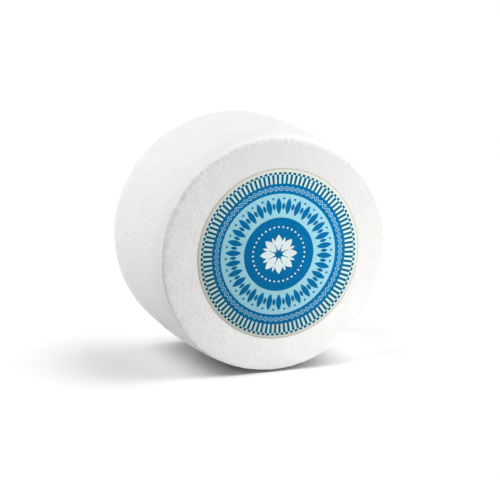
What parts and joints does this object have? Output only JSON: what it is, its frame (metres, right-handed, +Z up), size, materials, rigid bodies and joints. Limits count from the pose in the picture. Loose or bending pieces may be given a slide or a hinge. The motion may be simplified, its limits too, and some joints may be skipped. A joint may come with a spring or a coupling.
{
  "type": "ricotta salata",
  "caption": "White barrel-shaped drum of salted ricotta lying on its flank, with faint mould ribs, rounded edges and a round blue and cream paper label on the front end.",
  "frame": {"origin": "on the resting plane, under the middle of the drum's length", "axes": "+Z up, -Y out of the labelled end along the drum's axis, +X to the right seen from the label"},
  "size_m": [0.1807, 0.1113, 0.1775],
  "materials": {
    "cheese": "matt white pressed curd, moist, with the mould's ribs and nubs",
    "label": "coated paper printed in blue, light blue and cream"
  },
  "bodies": {
    "root": {"cheese": "cheese", "label": "label"}
  },
  "joints": []
}
